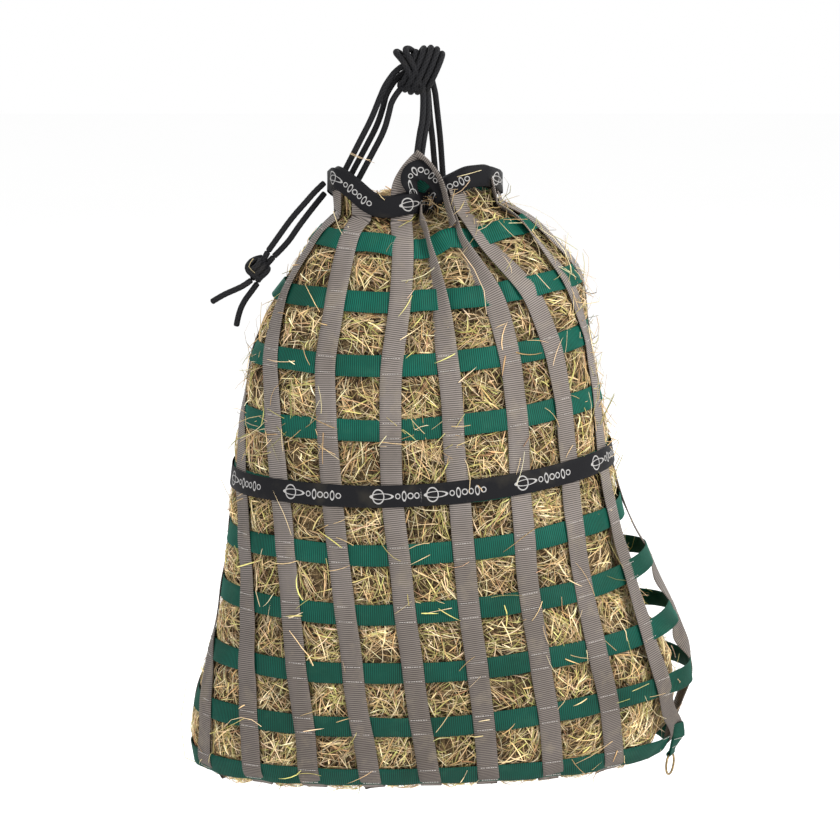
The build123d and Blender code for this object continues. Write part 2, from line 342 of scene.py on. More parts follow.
def grid_faces(rows, columns, closed_rows=False, closed_columns=True, start=0):
    """Quads between rows of points."""
    i = np.arange(rows if closed_rows else rows - 1)[:, None]
    j = np.arange(columns if closed_columns else columns - 1)[None, :]
    a, b = i * columns + j, i * columns + (j + 1) % columns
    c = (i + 1) % rows * columns + (j + 1) % columns
    d = (i + 1) % rows * columns + j
    return np.stack([a, d, c, b], -1).reshape(-1, 4) + start


def resample(lines, step, closed=False):
    """Lines of points, read again at equal steps along the first of them."""
    first = lines[0]
    if closed:
        lines = [np.concatenate([line, line[:1]]) for line in lines]
        first = lines[0]
    reach = np.concatenate([[0], np.cumsum(np.linalg.norm(np.diff(first, axis=0), axis=1))])
    count = max(4, int(round(reach[-1] / step)))
    if closed:
        count += count % 2
    want = np.linspace(0, reach[-1], count + 1)[: count if closed else count + 1]
    return [np.stack([np.interp(want, reach, c) for c in line.T], 1) for line in lines], want


# The webbing's cross-section, from -1 to 1 across and -0.5 to 0.5 through its thickness
SECTION = np.array(
    [(-0.96, 0.5), (-0.5, 0.5), (0, 0.5), (0.5, 0.5), (0.96, 0.5), (1, 0)]
    + [(0.96, -0.5), (0, -0.5), (-0.96, -0.5), (-1, 0)]
)
FRAY = 0.006  # how much wider the webbing's edge is at a rib, as a share of its width


def webbing(
    name, centre, across, normal, material, slot, closed=False,
    width=WEB_WIDTH, thick=WEB_THICK, rib=RIB, depth=0.55, body="net", widths=None,
):
    """Ribbed webbing along a line of points with its width and face directions."""
    lines = [centre, across, normal]
    if widths is not None:
        lines.append(widths[:, None])
    lines, along = resample(lines, rib / 2, closed)
    centre, across, normal = lines[:3]
    across = unit(across)
    normal = unit(normal - across * (normal * across).sum(1, keepdims=True))
    half = (lines[3] if widths is not None else np.full((len(centre), 1), width)) / 2
    ribs = np.where(np.arange(len(centre)) % 2 == 0, 0.5, -0.5)[:, None]
    flat = np.abs(SECTION[:, 1]) > 0.1
    through = SECTION[None, :, 1] * thick + np.sign(SECTION[None, :, 1]) * ribs * depth * flat
    fray = 1 + FRAY * ribs
    verts = (
        centre[:, None, :]
        + across[:, None, :] * (SECTION[None, :, :1] * (half * fray)[:, :, None])
        + normal[:, None, :] * through[:, :, None]
    )
    count, around = len(centre), len(SECTION)
    faces = [grid_faces(count, around, closed_rows=closed)]
    if not closed:
        faces.append(np.array([np.arange(around)]))
        faces.append(np.array([np.arange(around)[::-1] + (count - 1) * around]))
    u = np.broadcast_to(SECTION[None, :, 0] * 0.5 + 0.5, (count, around)).ravel()
    v = np.repeat(along / WEB_WIDTH, around)
    shade = np.broadcast_to(ribs + 0.5, (count, around)).ravel()
    uvs = np.stack([u, v], 1)
    return new_object(name, verts.reshape(-1, 3), faces, body, material, uvs=uvs, values=shade)


def wander(count, spread, steps, closed=False):
    """Smooth random drift along a line, of about this spread."""
    knots = rng.normal(0, 1, steps + 1)
    if closed:
        knots[-1] = knots[0]
    line = np.interp(np.linspace(0, steps, count), np.arange(steps + 1), knots)
    return blur(line, max(2, count // steps // 3), closed) * spread


# --- materials ------------------------------------------------------------------------------------


BLACK, WHITE = (0, 0, 0), (1, 1, 1)


class Nodes:
    """Short names for building one material's nodes."""

    def __init__(self, name, **sockets):
        self.material = bpy.data.materials.new(name)
        self.material.use_nodes = True
        self.tree = self.material.node_tree
        self.shader = self.tree.nodes["Principled BSDF"]
        for socket, value in sockets.items():
            self.shader.inputs[socket.replace("_", " ")].default_value = value

    def add(self, kind, **settings):
        node = self.tree.nodes.new("ShaderNode" + kind)
        for key, value in settings.items():
            setattr(node, key, value)
        return node

    def link(self, out, into):
        self.tree.links.new(out, into)

    def noise(self, scale, detail=3.0, vector=None, rough=0.5):
        node = self.add("TexNoise")
        node.inputs["Scale"].default_value = scale
        node.inputs["Detail"].default_value = detail
        node.inputs["Roughness"].default_value = rough
        self.link(vector or self.place(), node.inputs["Vector"])
        return node.outputs["Fac"]

    def place(self, stretch=None):
        out = self.add("TexCoord").outputs["Object"]
        if stretch is None:
            return out
        node = self.add("Mapping")
        node.inputs["Scale"].default_value = stretch
        self.link(out, node.inputs["Vector"])
        return node.outputs["Vector"]

    def weave(self, stretch=(1, 1, 1)):
        uv = self.add("UVMap", uv_map="weave").outputs["UV"]
        node = self.add("Mapping")
        node.inputs["Scale"].default_value = stretch
        self.link(uv, node.inputs["Vector"])
        return node.outputs["Vector"]

    def value(self, name):
        return self.add("Attribute", attribute_name=name).outputs["Fac"]

    def colour(self, name):
        return self.add("Attribute", attribute_name=name).outputs["Color"]

    def math(self, operation, a, b=0.0, clamp=False):
        node = self.add("Math", operation=operation, use_clamp=clamp)
        for socket, value in zip(node.inputs, (a, b)):
            if isinstance(value, (int, float)):
                socket.default_value = value
            else:
                self.link(value, socket)
        return node.outputs[0]

    def ramp(self, fac, *stops):
        node = self.add("ValToRGB")
        ramp = node.color_ramp
        while len(ramp.elements) < len(stops):
            ramp.elements.new(0.5)
        for element, (at, colour) in zip(ramp.elements, stops):
            element.position = at
            element.color = (*colour, 1) if len(colour) == 3 else colour
        self.link(fac, node.inputs["Fac"])
        return node.outputs["Color"]

    def mix(self, fac, a, b, kind="MIX"):
        node = self.add("Mix", data_type="RGBA", blend_type=kind)
        for socket, value in ((node.inputs["Factor"], fac), (node.inputs[6], a), (node.inputs[7], b)):
            if isinstance(value, (int, float)):
                socket.default_value = value
            elif isinstance(value, tuple):
                socket.default_value = (*value, 1)
            else:
                self.link(value, socket)
        return node.outputs[2]

    def bump(self, height, strength, distance):
        node = self.add("Bump")
        node.inputs["Strength"].default_value = strength
        node.inputs["Distance"].default_value = distance
        self.link(height, node.inputs["Height"])
        self.link(node.outputs["Normal"], self.shader.inputs["Normal"])

    def painted_shade_to_base(self):
        """Painted shade: darker towards the net's base, where less light falls."""
        parts = self.add("SeparateXYZ")
        self.link(self.place(), parts.inputs[0])
        node = self.add("MapRange")
        node.inputs["From Min"].default_value = -0.9
        node.inputs["From Max"].default_value = -0.15
        self.link(parts.outputs["Z"], node.inputs["Value"])
        stops = (0.0, (0.6, 0.58, 0.57)), (0.55, (0.85, 0.85, 0.85)), (1.0, WHITE)
        return self.ramp(node.outputs["Result"], *stops)

    def flecks(self, noise, low, high, amount):
        """Soft-edged flecks where a noise is high, no stronger than this."""
        return self.math("MULTIPLY", self.ramp(noise, (low, BLACK), (high, WHITE)), amount)

    def rough(self, fac, low, high):
        node = self.add("MapRange")
        node.inputs["To Min"].default_value = low
        node.inputs["To Max"].default_value = high
        self.link(fac, node.inputs["Value"])
        self.link(node.outputs["Result"], self.shader.inputs["Roughness"])

    def base(self, colour):
        self.link(colour, self.shader.inputs["Base Color"])


def webbing_material(name, dark, light, dust):
    """Woven polypropylene webbing: yarn flecks, worn patches and hay dust, with painted shade in the ribs'
    grooves and painted shade towards the net's base.
    """
    n = Nodes(name, Roughness=0.62, Specular_IOR_Level=0.2)
    patches = n.noise(9, 4, rough=0.6)
    yarn = n.noise(1.0, 2, vector=n.weave((60, 12, 1)))
    colour = n.ramp(patches, (0.3, dark), (0.72, light))
    colour = n.mix(n.math("MULTIPLY", yarn, 0.45), colour, tuple(0.5 * c for c in dark))
    # painted shade: darker in the ribs' grooves, from the shade attribute (0 in a groove, 1 on a rib's top)
    painted_groove_shade = n.ramp(n.value("shade"), (0.15, (0.22, 0.22, 0.22)), (0.75, (1.0, 1.0, 1.0)))
    colour = n.mix(1.0, colour, painted_groove_shade, "MULTIPLY")
    # painted shade: darker towards the net's base
    colour = n.mix(1.0, colour, n.painted_shade_to_base(), "MULTIPLY")
    n.base(n.mix(n.flecks(n.noise(26, 5, rough=0.7), 0.52, 0.75, 0.25), colour, dust))
    n.rough(yarn, 0.55, 0.8)
    n.bump(yarn, 0.35, 0.0004)
    return n.material


# The woven motif: its repeat, in webbing widths, and its small loops' half widths and half heights
MOTIF = 4.2
MOTIF_LOOPS = ((0.1, 0.11), (0.09, 0.2), (0.12, 0.12), (0.1, 0.12), (0.09, 0.19), (0.11, 0.11))


def ribbon_material(name, shown):
    """Black woven ribbon with a plain off-white motif: an oval ring, then a chain of small loops."""
    n = Nodes(name, Roughness=0.6, Specular_IOR_Level=0.12)
    across = n.add("SeparateXYZ")
    n.link(n.weave(), across.inputs[0])
    u, v = across.outputs["X"], across.outputs["Y"]
    threads = n.noise(1.0, 2, vector=n.weave((90, 26, 1)))
    cloth = n.ramp(threads, (0.25, (0.003, 0.003, 0.0038)), (0.75, (0.01, 0.01, 0.012)))
    place = n.math("MULTIPLY", n.math("FRACT", n.math("MULTIPLY", v, 1 / MOTIF)), MOTIF)
    height = n.math("SUBTRACT", u, 0.5)

    def ring(middle, wide, tall, line):
        x = n.math("DIVIDE", n.math("SUBTRACT", place, middle), wide)
        y = n.math("DIVIDE", height, tall)
        far = n.math("SQRT", n.math("ADD", n.math("MULTIPLY", x, x), n.math("MULTIPLY", y, y)))
        return n.math("LESS_THAN", n.math("ABSOLUTE", n.math("SUBTRACT", far, 1.0)), line)

    motif = n.math("MAXIMUM", ring(0.5, 0.26, 0.31, 0.09), ring(0.66, 0.5, 0.13, 0.12))
    for i, (wide, tall) in enumerate(MOTIF_LOOPS):
        motif = n.math("MAXIMUM", motif, ring(1.4 + 0.29 * i, wide, tall, 0.2))
    motif = n.math("MULTIPLY", motif, shown)
    motif = n.math("MULTIPLY", motif, n.math("ADD", n.math("MULTIPLY", threads, 0.9), 0.4), clamp=True)
    colour = n.mix(motif, cloth, (0.42, 0.41, 0.4))
    n.base(n.mix(n.flecks(n.noise(30, 5), 0.55, 0.8, 0.1), colour, (0.2, 0.17, 0.11)))
    n.rough(threads, 0.5, 0.75)
    n.bump(threads, 0.4, 0.0003)
    return n.material


def rope_material():
    """Black braided cord, with painted shade between the strands and painted light on their crests."""
    n = Nodes("black_braid", Roughness=0.6, Specular_IOR_Level=0.12)
    fibre = n.noise(900, 3)
    # painted shade and light: near black between the strands, lighter on their crests
    crest = n.ramp(n.value("shade"), (0.15, (0.0015, 0.0015, 0.002)), (0.95, (0.017, 0.017, 0.019)))
    colour = n.mix(n.math("MULTIPLY", fibre, 0.5), crest, (0.008, 0.008, 0.0095))
    n.base(n.mix(n.flecks(n.noise(45, 4), 0.55, 0.8, 0.08), colour, (0.11, 0.095, 0.07)))
    n.rough(fibre, 0.6, 0.85)
    n.bump(fibre, 0.3, 0.0003)
    return n.material


def hay_material():
    """Dry stems, each with its own colour, darker on the deeper ones as painted shade, blotched and spotted.
    """
    n = Nodes("hay_stems", Roughness=0.6, Specular_IOR_Level=0.35)
    blotch = n.noise(140, 4, rough=0.65)
    weathered = n.ramp(blotch, (0.25, (0.62, 0.55, 0.42)), (0.8, (1.12, 1.08, 1.0)))
    colour = n.mix(1.0, n.colour("tint"), weathered, "MULTIPLY")
    n.base(n.mix(n.flecks(n.noise(420, 3), 0.66, 0.74, 0.45), colour, (0.13, 0.075, 0.03)))
    n.rough(blotch, 0.42, 0.78)
    n.bump(n.noise(600, 2), 0.3, 0.0004)
    return n.material


def core_material():
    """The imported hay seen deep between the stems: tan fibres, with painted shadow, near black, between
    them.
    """
    n = Nodes("hay_packed_painted_shade", Roughness=0.85, Specular_IOR_Level=0.2)
    fibres = n.noise(70, 6, vector=n.place((3.0, 3.0, 0.7)), rough=0.75)
    cross = n.noise(80, 6, vector=n.place((0.8, 0.8, 3.2)), rough=0.75)
    mixed = n.math("MAXIMUM", fibres, cross)
    # painted shadow: near black and dark brown where the fibres part, the hay's own tan on them
    stops = (0.42, (0.01, 0.006, 0.003)), (0.56, (0.1, 0.064, 0.03)), (0.72, (0.36, 0.26, 0.13))
    n.base(n.ramp(mixed, *stops))
    n.rough(fibres, 0.7, 0.95)
    n.bump(mixed, 0.9, 0.004)
    return n.material


def brass_material():
    """Aged brass: dark in patches, bright where it is rubbed."""
    n = Nodes("aged_brass", Roughness=0.4, Metallic=0.9)
    patina = n.noise(260, 5, rough=0.65)
    n.base(n.ramp(patina, (0.3, (0.05, 0.035, 0.02)), (0.5, (0.22, 0.15, 0.065)), (0.75, (0.55, 0.4, 0.18))))
    n.rough(patina, 0.55, 0.25)
    n.bump(n.noise(700, 3), 0.25, 0.0003)
    return n.material


def thread_material():
    """Pale sewing thread."""
    n = Nodes("bar_tack_thread", Roughness=0.6)
    twist = n.noise(500, 3)
    n.base(n.ramp(twist, (0.3, (0.28, 0.26, 0.24)), (0.7, (0.55, 0.52, 0.49))))
    n.bump(twist, 0.4, 0.0003)
    return n.material


GREY = webbing_material("grey_webbing", (0.24, 0.205, 0.18), (0.37, 0.325, 0.3), (0.36, 0.3, 0.2))
GREEN = webbing_material("green_webbing", (0.0, 0.085, 0.052), (0.0, 0.165, 0.115), (0.03, 0.12, 0.075))
RIBBON = ribbon_material("black_ribbon", 1.0)
HEM = ribbon_material("black_hem", 0.0)
ROPE_BLACK = rope_material()
HAY = hay_material()
CORE = core_material()
BRASS = brass_material()
THREAD = thread_material()


# --- webbing of the net ---------------------------------------------------------------------------

STRAP_RIDE = 4.3  # the strap's middle above the skin where it crosses a hoop
STRAP_REST = 3.0  # and between the hoops
HOOP_RIDE = 1.9
STRAP_ROWS = 620  # points down one side of the net
CORNER_STRAP = 8  # the last front strap, which turns round the corner with the tab
TURNED_STRAP = 9  # the first back strap, behind the slack right side
TURN_DEPTH = 12.0  # how far its turns stand back


def stand_off(level, share):
    """How far the hoops' right and left ends stand off the slack hay."""
    right = np.exp(-(from_share(share, 0.25) / 0.047) ** 2)
    left = np.exp(-(from_share(share, -0.25) / 0.04) ** 2)
    low = np.clip((level - 5.5) / 2, 0, 1) * np.clip((10.6 - level) / 0.8, 0, 1)
    return right * np.interp(level, (5, 6, 7, 8, 9, 10, 10.6), (0, 5, 25, 22, 12, 9, 0)) + left * low * 2


def strap_height(level):
    """The strap's height over the skin: up on each hoop, down on the hay between."""
    near = np.abs(level - np.clip(np.round(level), HOOPS[0], HOOPS[-1]))
    return STRAP_REST + (STRAP_RIDE - STRAP_REST) * np.exp(-((near / 0.26) ** 2))


def turned_by(angle, across, normal):
    """Width directions and faces turned about the webbing's length."""
    cos, sin = np.cos(angle)[:, None], np.sin(angle)[:, None]
    return across * cos + normal * sin, normal * cos - across * sin


def strap_run(strap, levels):
    """Points, width directions and faces down one side of the net."""
    share = strap_share(strap, levels)
    out = strap_height(levels) + stand_off(levels, share)
    count = len(levels)
    out = out + wander(count, 0.7, 26) * np.clip(levels, 0.2, 1)
    share = share + wander(count, 0.9, 18) / lookup(GIRTH, levels, share) * np.clip(levels + 0.5, 0, 1)
    centre = skin(levels, share, out)
    normal = unit(lookup(OUTWARD, levels, share))
    along = unit(np.gradient(centre, axis=0))
    across = unit(np.cross(normal, along))
    turn = wander(count, 3.0, 30) + np.interp(levels, (-1, 1, 2, 3), TWISTS.get(strap, (0, 0, 0, 0)))
    if strap == TURNED_STRAP:  # it stands off behind the slack right side and turns between two hoops
        twist = np.interp(levels, (7.2, 7.5, 7.8, 8.2, 8.5, 8.8), (0, 25, 0, 0, 66, 0))
        twist = blur(twist, 6, closed=False)
        turn = turn + twist
        centre = centre - normal * (TURN_DEPTH * np.sin(np.radians(twist)))[:, None]
    return centre, *turned_by(np.radians(turn), across, normal)


# The last strap turns round the lower right corner through the tab's seam, instead of under the base
CORNER = [(338, -47, -806), (341, -40, -822), (339, -28, -836), (334, -8, -842), (337, 12, -830)]
CORNER_FACE = (0.75, -0.35, -0.55)
CORNER_ROWS = 50
SEAM = 40  # rows on each side of the base's middle that are smoothed
SEAM_PAD = 20  # and the rows beside them that the smoothing reads


def make_strap(strap):
    """One strap: down the front, under the base and up the back."""
    corner = strap == CORNER_STRAP
    last = 9.5 if corner else KEEL
    front = strap_run(strap, np.linspace(STRAP_STARTS.get(strap, -0.9), last, STRAP_ROWS))
    back = strap_run(STRAPS - 1 - strap, np.linspace(-0.9, last, STRAP_ROWS))
    parts = []
    for index, (one, other) in enumerate(zip(front, back)):
        other = other[::-1] * (-1 if index == 1 else 1)
        parts.append([one, other])
    if corner:
        link = smooth_line(CORNER, CORNER_ROWS)
        face = np.tile(CORNER_FACE, (CORNER_ROWS, 1))
        across = unit(np.cross(face, unit(np.gradient(link, axis=0))))
        for part, middle in zip(parts, (link, across, face)):
            part.insert(1, middle)
    parts = [np.concatenate(part) for part in parts]
    if not corner:
        low, high = STRAP_ROWS - SEAM, STRAP_ROWS + SEAM
        for part in parts[:2]:
            smoothed = blur(part[low - SEAM_PAD : high + SEAM_PAD], 9, closed=False)
            part[low:high] = smoothed[SEAM_PAD:-SEAM_PAD]
        parts[2][low:high] = (0, 0, -1)
    parts = [blur(part, 6 if corner else 3, closed=False) for part in parts]
    piece = webbing(f"webbing_upright_{strap + 1}", *parts, GREY, "grey_webbing")
    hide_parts(f"upright_strap_{strap + 1}")


HOOP_POINTS = 1400
WAIST_POINTS = 1200
WAIST_RIDE = 6.4


def band_frame(centre, level, share):
    """Width directions and faces of a closed band round the net."""
    normal = unit(lookup(OUTWARD, level, share))
    return unit(np.cross(normal, loop_direction(centre))), normal


def make_hoop(level):
    """One hoop, slack between the straps and gathered in pleats near the mouth."""
    count = HOOP_POINTS
    share = np.arange(count) / count
    v = np.full(count, float(level))
    # how free the hoop is to bulge: 0 under a strap, 1 well away from all of them
    nearest = np.ones(count)
    for strap in range(STRAPS):
        gap = np.abs(from_share(share, strap_share(strap, level))) * lookup(GIRTH, v, share)
        nearest = np.minimum(nearest, np.clip((gap - 10) / 16, 0, 1))
    bulge = np.interp(level, (1, 2, 3, 5, 10), (6.0, 3.6, 2.0, 1.2, 1.4))
    out = HOOP_RIDE + nearest * bulge * (0.75 + wander(count, 0.5, 22, closed=True)) + stand_off(v, share)
    drift = wander(count, 1.3, 20, closed=True)
    if level == 1:  # it is pulled up and out beside the fold, and sags to the left of it
        round_it = from_share(share, 0)
        lifted = np.exp(-(((round_it - 0.045) / 0.022) ** 2))
        out = out + 4 * lifted
        drift = drift - 5 * lifted + 4 * np.exp(-(((round_it + 0.02) / 0.04) ** 2))
    drift = drift / lookup(STEP, v, share)
    centre = skin(v + drift, share, out)
    across, normal = band_frame(centre, v, share)
    lean = np.radians((wander(count, 5.0, 30, closed=True) - 4) * nearest)
    turned = turned_by(lean, across, normal)
    piece = webbing(f"webbing_hoop_{level}", centre, *turned, GREEN, "green_webbing", closed=True)
    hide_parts(f"hoop_strap_{level}")


def make_waist():
    """The ribbon over hoop 5 and the straps."""
    count = WAIST_POINTS
    share = np.arange(count) / count
    v = np.full(count, float(WAIST))
    v = v + wander(count, 1.0, 16, closed=True) / lookup(STEP, v, share)
    out = WAIST_RIDE + wander(count, 0.4, 24, closed=True)
    centre = skin(v, share, out)
    frames = band_frame(centre, v, share)
    size = dict(thick=0.8, depth=0.06, width=28)
    piece = webbing("ribbon_waist", centre, *frames, RIBBON, "black_ribbon", closed=True, **size)
    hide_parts("waist_ribbon")


BLOCK = np.array([(x, y, z) for x in (-1, 1) for y in (-1, 1) for z in (-1, 1)], float)
BLOCK_FACES = np.array([(0, 1, 3, 2), (4, 6, 7, 5), (0, 4, 5, 1), (2, 3, 7, 6), (0, 2, 6, 4), (1, 5, 7, 3)])


def stitch_piece(name, places, size, body):
    """Stitches as small blocks; size is half a block's, and a place is its middle and three directions."""
    verts = [middle + BLOCK @ (np.stack(ways) * np.array(size)[:, None]) for middle, *ways in places]
    faces = BLOCK_FACES + len(BLOCK) * np.arange(len(verts))[:, None, None]
    new_object(name, np.concatenate(verts), [faces.reshape(-1, 4)], body, THREAD, smooth=False)


STITCHES = 7  # in each row of a bar tack
STITCH_PITCH = 3.0
TACK_EDGE = 9.6  # from the hoop's middle to a row


def make_tacks():
    """Two rows of stitches on the crossings of straps and hoops, but none on hoop 5 under the waist ribbon,
    nor where the straps that turn towards the mouth cross hoops 1 and 2.
    """
    places = []
    for level in HOOPS:
        if level == WAIST:
            continue
        for strap in range(STRAPS):
            if level < 3 and strap in TWISTS:
                continue
            for edge in (-TACK_EDGE, TACK_EDGE):
                spots = (np.arange(STITCHES) - STITCHES // 2) * STITCH_PITCH + rng.normal(0, 0.2, STITCHES)
                at = np.full(STITCHES, level + edge / lookup(STEP, float(level), 0.0))
                share = strap_share(strap, at) + spots / lookup(GIRTH, at, 0.0)
                out = strap_height(at) + stand_off(at, share) + WEB_THICK / 2 + 0.5
                centre = skin(at, share, out)
                normal = unit(lookup(OUTWARD, at, share))
                along = unit(skin(at, share + 0.001, out) - centre)
                down = np.cross(normal, along)
                places += zip(centre, along, down, normal)
    stitch_piece("bar_tacks", places, (1.05, 0.32, 0.28), "net")


# --- hay ------------------------------------------------------------------------------------------


PRESSED = 1.2  # how deep the webbing presses the hay
BULGE = 9.5  # how much further out it comes in a hole


def pillow(away):
    """How far hay may bulge at this distance from the nearest webbing."""
    return np.where(away < 0, -PRESSED, -PRESSED + BULGE * (1 - np.exp(-np.maximum(away, 0) / 10)))


HAY_REACH_Y = 171.0  # no stem stands further out than this in depth


def slack(points, level, share):
    """Draws the hay in from the hoops' slack right side."""
    right = np.exp(-(from_share(share, 0.25) / 0.06) ** 2)
    low = np.clip((level - 5.5) / 2, 0, 1) * np.clip((10.8 - level) / 0.8, 0, 1)
    moved = points.copy()
    moved[..., 0] -= 11 * right * low
    moved[..., 1] = np.clip(moved[..., 1], -HAY_REACH_Y, HAY_REACH_Y)
    return moved


CORE_ROWS, CORE_COLUMNS = 190, 420


def make_core():
    """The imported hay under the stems: the skin drawn in a little and lumpy, closed over at the mouth."""
    rows, columns = CORE_ROWS, CORE_COLUMNS
    level = np.repeat(np.linspace(-0.55, KEEL, rows)[:, None], columns, 1)
    share = np.repeat(np.arange(columns)[None, :] / columns, rows, 0)
    away = clear_of_webbing(level, share)
    lumps = blur(blur(rng.normal(0, 1, (rows, columns)), 2).T, 2).T
    lumps += 0.125 * rng.normal(0, 1, (rows, columns))
    out = pillow(away) * 0.55 - 5.5 + lumps / lumps.std() * 1.7
    wall = slack(skin(level, share, out), level, share)
    middle = wall[0].mean(0) + (0, 0, 4)
    inward = np.linspace(0.92, 0.12, 9)
    cap = [wall[0] + (middle - wall[0]) * t + rng.normal(0, 1.5, (columns, 3)) for t in inward]
    points = np.concatenate([*cap, wall.reshape(-1, 3), [middle]])
    ring = np.arange(columns)
    top = np.stack([np.full(columns, len(points) - 1), ring, (ring + 1) % columns], 1)
    faces = [grid_faces(rows + len(cap), columns), top]
    core = new_object("hay_core", points, faces, "net", CORE)
    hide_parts("hay_fill")


STEM_POINTS = 5
SHORT_STEP = 12  # the least that a level counts for, in millimetres, where levels crowd at the base
TINTS = {
    "straw": ((0.76, 0.57, 0.33), (0.86, 0.68, 0.42), (0.62, 0.43, 0.22)),
    "pale": ((0.95, 0.83, 0.6), (0.88, 0.76, 0.52), (0.86, 0.68, 0.5)),
    "green": ((0.56, 0.53, 0.2), (0.66, 0.62, 0.28), (0.4, 0.4, 0.14)),
    "brown": ((0.6, 0.33, 0.19), (0.72, 0.44, 0.28), (0.4, 0.24, 0.13)),
}


def stem_mesh(name, points, faces_out, radius, flat, tints):
    """Three-sided tapering stems along rows of points, in one mesh."""
    count, steps = points.shape[:2]
    along = unit(np.gradient(points, axis=1))
    side = unit(np.cross(along, faces_out[:, None, :]))
    up = np.cross(side, along)
    taper = np.linspace(1.0, 0.55, steps)[None, :, None, None] * radius[:, None, None, None]
    angles = np.radians((90, 210, 330))
    ring = side[:, :, None, :] * np.cos(angles)[None, None, :, None]
    ring = ring + up[:, :, None, :] * np.sin(angles)[None, None, :, None] * flat[:, None, None, None]
    verts = (points[:, :, None, :] + ring * taper).reshape(-1, 3)
    start = (np.arange(count) * steps * 3)[:, None]
    one = grid_faces(steps, 3)
    sides = (one[None] + start[:, :, None]).reshape(-1, 4)
    caps = np.concatenate([start + [0, 1, 2], start + [steps * 3 - 1, steps * 3 - 2, steps * 3 - 3]])
    colours = np.repeat(tints, steps * 3, axis=0)
    return new_object(name, verts, [sides, caps], "net", HAY, tints=colours)


def leaf_mesh(name, points, faces_out, half_width, tints):
    """Thin folded blades, two faces wide, along rows of points."""
    count, steps = points.shape[:2]
    along = unit(np.gradient(points, axis=1))
    side = unit(np.cross(along, faces_out[:, None, :]))
    up = np.cross(side, along)
    roll = rng.uniform(-1.1, 1.1, count)[:, None, None]
    side, up = side * np.cos(roll) + up * np.sin(roll), up * np.cos(roll) - side * np.sin(roll)
    taper = np.array((0.6, 1.0, 0.9, 0.65, 0.12))[None, :, None] * half_width[:, None, None]
    edge = side * taper
    verts = np.stack([points - edge, points + up * taper * 0.45, points + edge], 2).reshape(-1, 3)
    start = (np.arange(count) * steps * 3)[:, None, None]
    faces = (grid_faces(steps, 3, closed_columns=False)[None] + start).reshape(-1, 4)
    return new_object(name, verts, [faces], "net", HAY, tints=np.repeat(tints, steps * 3, axis=0))


def stem_paths(level, share, length, heading, curve, out, slope):
    """Points of stems that start at these places and run over the skin."""
    t = np.linspace(0, 1, STEM_POINTS)[None, :]
    reach = length[:, None] * t
    angle = heading[:, None] + curve[:, None] * reach
    step = length[:, None] / (STEM_POINTS - 1)
    start = np.zeros((len(level), 1))
    across, down = (
        np.concatenate([start, np.cumsum(part(angle[:, :-1]) * step, 1)], 1) for part in (np.cos, np.sin)
    )
    shares = share[:, None] + across / lookup(GIRTH, level, share)[:, None]
    step_down = np.maximum(lookup(STEP, level, share)[:, None], SHORT_STEP)
    levels = np.clip(level[:, None] + down / step_down, -0.75, KEEL - 0.02)
    return levels, shares, out[:, None] + slope[:, None] * reach


def random_places(count, low, high):
    """Places spread evenly over the skin's area between two levels."""
    rows = np.arange(int((low + 1) * RES), int((high + 1) * RES))
    area = GIRTH[rows] * STEP[rows].mean(1)
    row = rng.choice(rows, count, p=area / area.sum())
    return (row + rng.random(count)) / RES - 1, rng.random(count)


def tints_for(kind, count):
    """Each stem's colour: one of its kind's, lighter or darker and a little off in hue."""
    palette = np.array(TINTS[kind])
    picked = palette[rng.integers(0, len(palette), count)]
    lighter = rng.uniform(0.6, 1.25, (count, 1))
    return np.clip(picked * lighter * rng.uniform(0.95, 1.05, (count, 3)), 0.01, 0.95)


CLUMPS = 1500
CLUMP_PLACES = random_places(CLUMPS, -0.5, KEEL - 0.05)
CLUMP_HEADING = rng.uniform(0, math.pi, CLUMPS)


def stem_places(count):
    """Start places and headings: most stems lie along their clump, the rest anyhow."""
    level, share = random_places(count, -0.55, KEEL - 0.05)
    heading = rng.uniform(0, 2 * math.pi, count)
    clump = rng.integers(0, CLUMPS, count)
    clumped = rng.random(count) < 0.6
    spread = rng.normal(0, 9, (2, count))
    at, round_it = CLUMP_PLACES[0][clump], CLUMP_PLACES[1][clump]
    near_level = at + spread[0] / np.maximum(lookup(STEP, at, round_it), SHORT_STEP)
    near_share = round_it + spread[1] / lookup(GIRTH, at, round_it)
    flip = math.pi * rng.integers(0, 2, count)
    near_heading = CLUMP_HEADING[clump] + rng.normal(0, 0.28, count) + flip
    level = np.clip(np.where(clumped, near_level, level), -0.6, KEEL - 0.05)
    return level, np.where(clumped, near_share, share), np.where(clumped, near_heading, heading)


def make_stems(name, kind, count, thickness, blade=False):
    """Stems or flat leaves that lie in the net's holes, pressed in under the webbing, with a few over it."""
    level, share, heading = stem_places(count)
    length = np.clip(rng.lognormal(math.log(24 if blade else 29), 0.45, count), 8, 80)
    curve = rng.normal(0, 0.014, count)
    out = rng.uniform(-6.0, 6.0, count)
    slope = rng.normal(0, 0.09, count)
    levels, shares, outs = stem_paths(level, share, length, heading, curve, out, slope)
    away = clear_of_webbing(levels, shares)
    loose = rng.random(count) < 0.006
    pressed = np.minimum(outs, pillow(away) + rng.normal(0, 0.6, count)[:, None])
    over = np.where(away < 3, np.maximum(outs, 6.6), np.maximum(outs, 3))
    outs = np.where(loose[:, None], np.minimum(over, 9), np.maximum(pressed, -9))
    points = slack(skin(levels, shares, outs), levels, shares)
    normals = unit(lookup(OUTWARD, level, share))
    # each stem's own tint, darker the deeper it lies and lighter further out: painted shade and painted light
    tints = tints_for(kind, count) * np.clip(0.36 + 0.13 * (outs.mean(1) + 3), 0.3, 1.35)[:, None]
    if blade:
        leaf_mesh(name, points, normals, rng.uniform(0.35, 1.0, count) * thickness, tints)
        return
    radius = rng.uniform(0.34, 0.78, count) * thickness
    stem_mesh(name, points, normals, radius, np.full(count, 0.85), tints)


